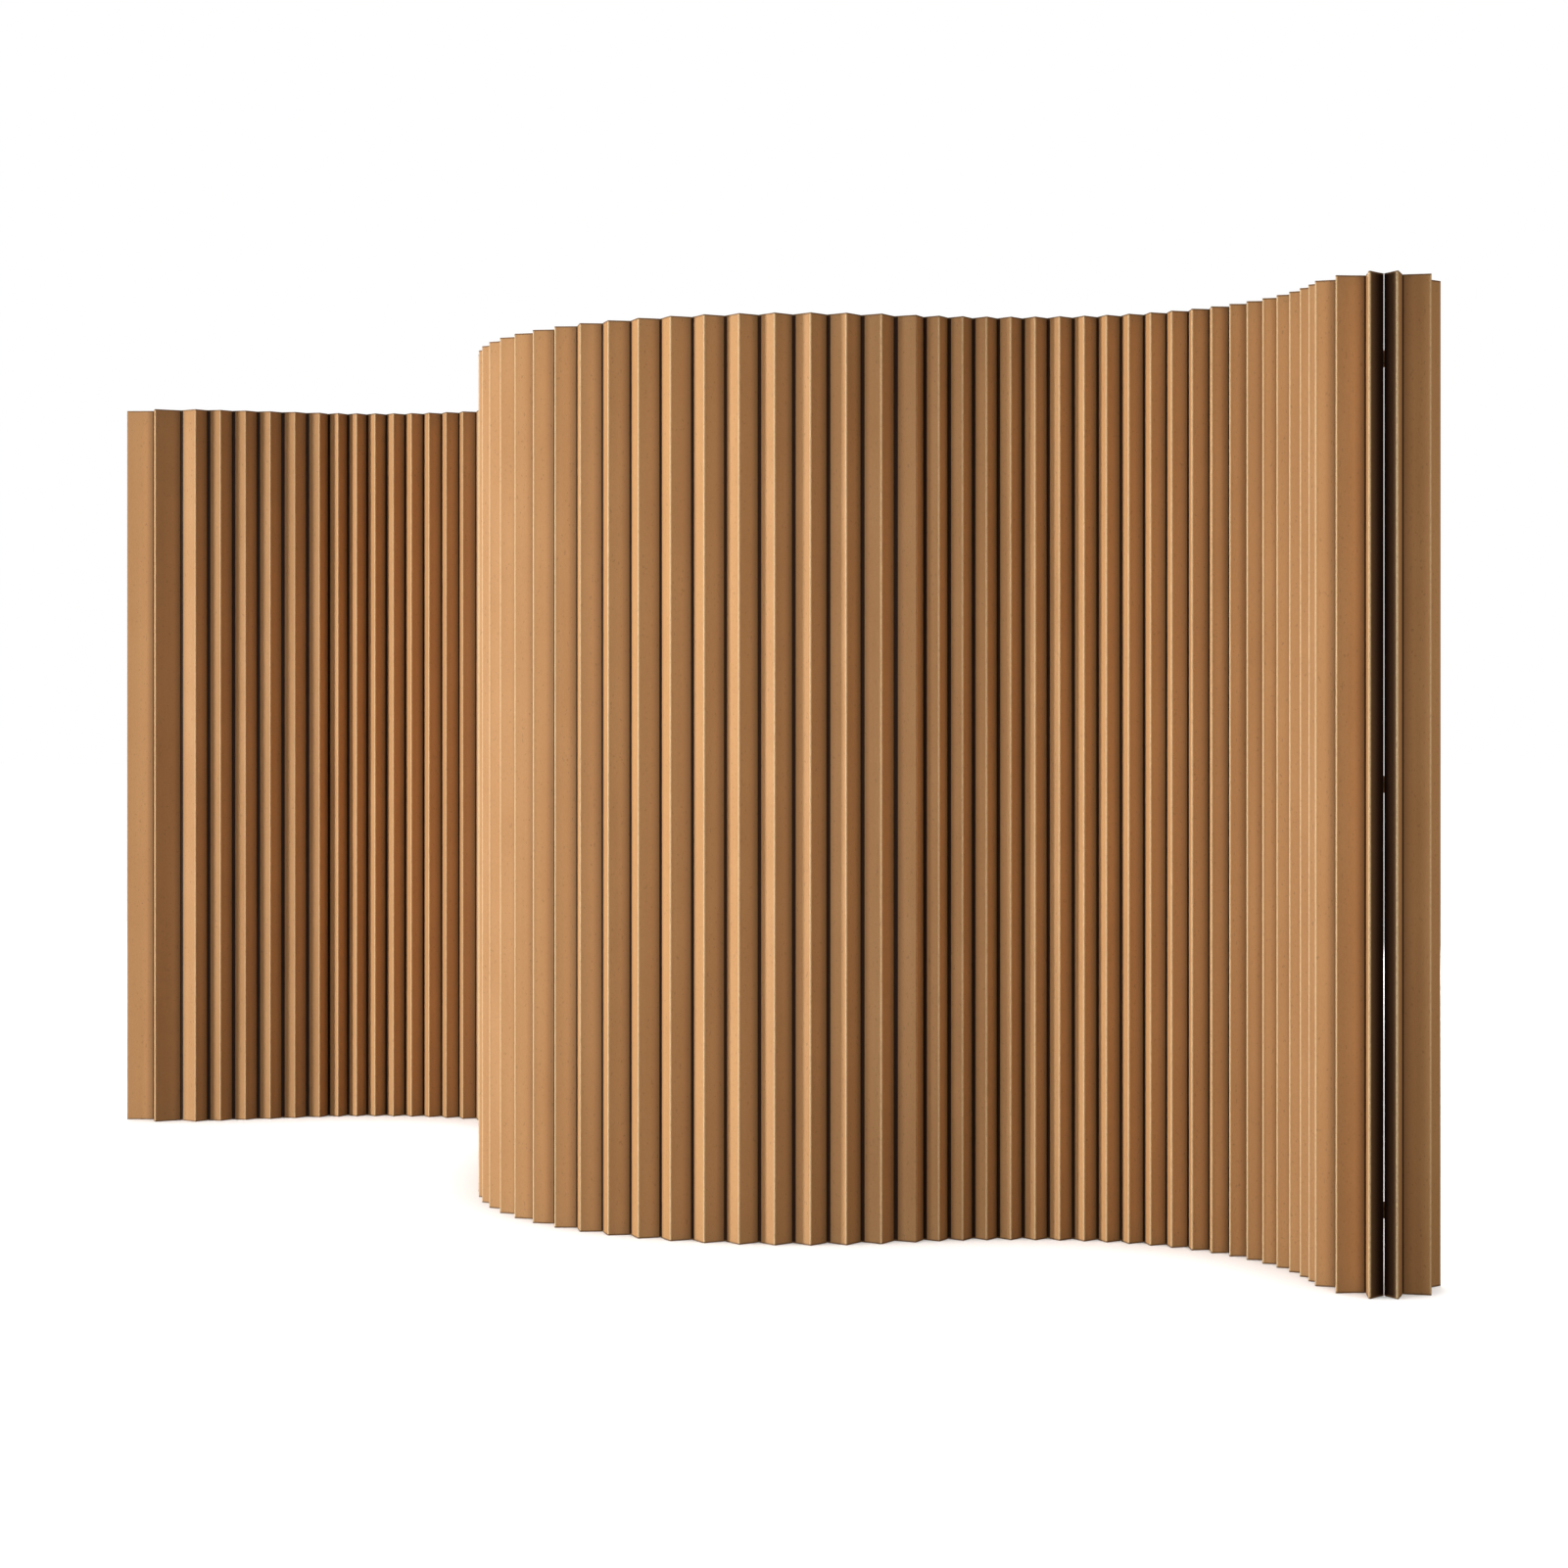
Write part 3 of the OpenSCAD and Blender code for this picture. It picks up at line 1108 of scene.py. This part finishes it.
@dataclass
class FoldedSheet:
    """One sheet of the screen: its stiff boards and the soft folds between them.

    hold is the length over which a board keeps hold of a fold's end, in thicknesses of the board. It is not
    used.
    """

    sheet: Sheet
    line: WindingLine
    maker: BoardMaker
    body_of: dict[str, str]
    material: bpy.types.Material
    hold: float = 0.6

    def node(self, n: int) -> str:
        """Name of the sheet's n-th solid in the frame."""
        return f"{self.sheet.value}_pleats_{n:02d}"

    def build(self) -> None:
        """Makes every board and fold of the sheet and hangs the boards on their bodies."""
        cuts = self.line.cuts(self.sheet)
        for n, (first, last) in enumerate(zip(cuts, cuts[1:]), start=1):
            self.make_board(n, first, last)
        for n, vertex in enumerate(cuts[1:-1], start=1):
            self.make_fold(n, vertex)

    def make_board(self, n: int, first: int, last: int) -> None:
        """Makes one stiff board.

        Args:
            n: Its number in the sheet.
            first: Vertex at which it begins.
            last: Vertex at which it ends.
        """
        obj = self.maker.board(f"{self.sheet.value}_board_{n:02d}", self.line.board(first, last))
        obj.data.materials.append(self.material)
        node = self.node(n)
        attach(obj, self.body_of[node])
        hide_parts(node)
        LOG.info("%s: %d panels, on %s", obj.name, last - first, self.body_of[node])

    def make_fold(self, n: int, vertex: int) -> None:
        """Makes the soft fold over the crease between two boards.

        Args:
            n: Number of the board before it.
            vertex: The crease's vertex.
        """
        stops = self.line.fold(vertex)
        obj = self.maker.board(f"{self.sheet.value}_fold_{n:02d}", stops)
        obj.data.materials.append(self.material)
        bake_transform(obj)
        LOG.info("%s: over vertex %d", obj.name, vertex)


@dataclass
class SeamTabs:
    """Three small tabs of tape that hold the flaps of the hook and the return together at the back.

    reach is the length of a tab on each flap, and glue the thickness of the glue under it. grip, how
    near its fold a tab bends, is not used. margin is how far the outer tabs are from the screen's ends,
    as a share of its height.
    """

    line: WindingLine
    maker: BoardMaker
    body_of: dict[str, str]
    material: bpy.types.Material
    reach: float = 0.014
    height: float = 0.03
    thickness: float = 0.0004
    glue: float = 0.00005
    radius: float = 0.0007
    grip: float = 0.004
    margin: float = 1 / 12
    rows: int = 4

    def build(self) -> None:
        """Makes the three tabs and hides the frame's seam tabs."""
        before, after = self.line.dirs[self.line.seam - 1], self.line.dirs[self.line.seam]
        fold, stops = self.lay_over(before, after)
        screen_height = self.maker.height
        for n, share in enumerate((self.margin, 1 / 2, 1 - self.margin), start=1):
            middle = share * screen_height
            tab_maker = BoardMaker(self.height, self.thickness, middle - self.height / 2, self.rows)
            obj = tab_maker.board(f"seam_tab_{n}", stops)
            obj.data.materials.append(self.material)
            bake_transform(obj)
            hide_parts("seam_tabs")
            LOG.info("%s: across the seam", obj.name)

    def lay_over(self, before: Plan, after: Plan) -> tuple[Crease, list[Stop]]:
        """Lays a tab over the rear faces of the two flaps, on the plan.

        Args:
            before: Direction of the flap before the seam.
            after: Direction of the flap after it.

        Returns:
            The tab's crease and the uprights of its mesh.
        """
        at = self.line.points[self.line.seam]
        stand = self.maker.thickness / 2 + self.glue + self.thickness / 2
        left = left_of(before), left_of(after)
        corner = at + stand * (left[0] + left[1]) / (1 + left[0] @ left[1])
        fold = Crease.between(before, after, corner, self.radius).drawn_in()
        ends = at - self.reach * before + stand * left[0], at + self.reach * after + stand * left[1]
        into = Panel(ends[0], fold.apex, None, fold, stiff=True)
        out = Panel(fold.apex, ends[1], fold, None, stiff=True)
        return fold, chained([*into.stops().values(), *out.stops().values()])


# ---------------------------------------------------------------- the studio


@dataclass(frozen=True)
class Softbox:
    """A rectangular soft light that is aimed at a point."""

    name: str
    at: Place
    aim: Place
    width: float
    height: float
    power: float
    colour: Colour = (1.0, 1.0, 1.0)

    def hang(self) -> None:
        """Hangs the light in the scene."""
        data = bpy.data.lights.new(self.name, "AREA")
        data.shape = "RECTANGLE"
        data.size, data.size_y = self.width, self.height
        data.energy = self.power
        data.color = self.colour
        light = bpy.data.objects.new(self.name, data)
        light.visible_camera = False
        light.location = self.at
        way = Vector(self.aim) - Vector(self.at)
        light.rotation_euler = way.to_track_quat("-Z", "Y").to_euler()
        bpy.context.scene.collection.objects.link(light)


@dataclass
class Studio:
    """A pale floor, soft light and the camera. fill is the brightness of the light from all round."""

    lens: float = 65.21
    sensor_width: float = 36.0
    camera_at: Place = (0.16058, -6.13531, 1.0107)
    shift: tuple[float, float] = (0.0253, -0.0398)
    floor_size: float = 120.0
    floor_drop: float = 0.0005
    floor_colour: Colour = (0.9, 0.9, 0.9)
    floor_roughness: float = 0.9
    overhead: float = 3.6
    overhead_angle: float = math.radians(16)
    backdrop: float = 1.0
    fill: float = 0.01
    boxes: tuple[Softbox, ...] = (
        Softbox("key", (-8.0, -2.0, 1.1), (0.1, 0.0, 0.9), 1.0, 2.5, 620.0),
        Softbox("left", (-4.8, -4.4, 1.5), (0.1, -0.2, 0.9), 1.5, 2.5, 78.0),
        Softbox("left_front", (-0.7, -2.4, 1.1), (0.3, 0.0, 0.9), 0.7, 2.0, 15.0),
        Softbox("front", (1.3, -2.8, 1.1), (1.0, 0.0, 0.9), 1.0, 2.0, 9.0, (1.0, 0.94, 0.86)),
        Softbox("right", (3.6, -2.6, 1.1), (0.1, 0.0, 0.9), 1.2, 2.0, 18.0, (1.0, 0.9, 0.78)),
        Softbox("right_end", (2.4, -0.6, 1.1), (0.1, 0.0, 0.9), 1.2, 2.0, 3.0, (1.0, 0.9, 0.78)),
        Softbox("back", (2.0, 6.5, 2.4), (0.2, 0.2, 0.9), 4.0, 3.0, 500.0),
    )

    def build(self) -> None:
        """Sets up floor, light and camera."""
        self.lay_floor()
        for box in self.boxes:
            box.hang()
        self.light_floor()
        self.set_world()
        self.set_camera()

    def lay_floor(self) -> None:
        """Lays the pale floor just under the screen's edges. It throws no light back on the boards."""
        bpy.ops.object.select_all(action="DESELECT")
        bpy.ops.mesh.primitive_plane_add(size=self.floor_size, location=(0, 0, -self.floor_drop))
        floor = bpy.context.active_object
        floor.name = "studio_floor"
        floor.visible_diffuse = floor.visible_glossy = False
        bench = NodeBench("studio floor")
        bench.shader.inputs["Base Color"].default_value = (*self.floor_colour, 1)
        bench.shader.inputs["Roughness"].default_value = self.floor_roughness
        bench.shader.inputs["Specular IOR Level"].default_value = 0.0
        floor.data.materials.append(bench.material)

    def light_floor(self) -> None:
        """Hangs a light high above, which whitens the floor and hardly grazes the upright boards."""
        data = bpy.data.lights.new("overhead", "SUN")
        data.energy = self.overhead
        data.angle = self.overhead_angle
        sun = bpy.data.objects.new("overhead", data)
        bpy.context.scene.collection.objects.link(sun)

    def set_world(self) -> None:
        """Gives a white backdrop and a faint even fill."""
        world = bpy.data.worlds.new("studio")
        world.use_nodes = True
        nodes, links = world.node_tree.nodes, world.node_tree.links
        seen = nodes.new("ShaderNodeLightPath").outputs["Is Camera Ray"]
        strength = nodes.new("ShaderNodeMapRange")
        links.new(seen, strength.inputs["Value"])
        strength.inputs["To Min"].default_value = self.fill
        strength.inputs["To Max"].default_value = self.backdrop
        links.new(strength.outputs[0], nodes["Background"].inputs["Strength"])
        nodes["Background"].inputs["Color"].default_value = (1, 1, 1, 1)
        bpy.context.scene.world = world

    def set_camera(self) -> None:
        """Sets the level camera in front of the screen."""
        data = bpy.data.cameras.new("camera")
        data.lens = self.lens
        data.sensor_width = self.sensor_width
        data.sensor_fit = "HORIZONTAL"
        data.shift_x, data.shift_y = self.shift
        camera = bpy.data.objects.new("camera", data)
        camera.location = self.camera_at
        camera.rotation_euler = (math.pi / 2, 0, 0)
        bpy.context.scene.collection.objects.link(camera)
        bpy.context.scene.camera = camera
        bpy.context.scene.view_settings.view_transform = "Standard"


# ---------------------------------------------------------------- the whole screen


def bodies_by_node(record: dict) -> dict[str, str]:
    """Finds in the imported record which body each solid's node belongs to."""
    groups = record["behaviour"]["bodies"]
    return {node: body for body, nodes in groups.items() for node in nodes}


def main() -> None:
    """Builds the screen's looks around the frame."""
    logging.basicConfig(level=logging.INFO, format="%(message)s")
    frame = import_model()
    body_of = bodies_by_node(frame["record"])
    seam = next(joint for joint in frame["joints"] if joint["name"] == "seam")
    line = WindingLine()
    line.walk(seam["pos_m"])
    low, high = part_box("bow_pleats_08")
    maker = BoardMaker(height=high.z - low.z, thickness=line.thickness * MM)
    board, tape = KraftBoardFinish(maker.height).material(), KraftTapeFinish().material()
    for sheet in Sheet:
        FoldedSheet(sheet, line, maker, body_of, board).build()
    SeamTabs(line, maker, body_of, tape).build()
    for name in ("tail_lap_tape", "hook_lap_tape"):
        node = frame["nodes"][name]
        node.data.materials.clear()
        node.data.materials.append(tape)
        LOG.info("%s: in the lap", name)
    Studio().build()


if __name__ == "__main__":
    main()
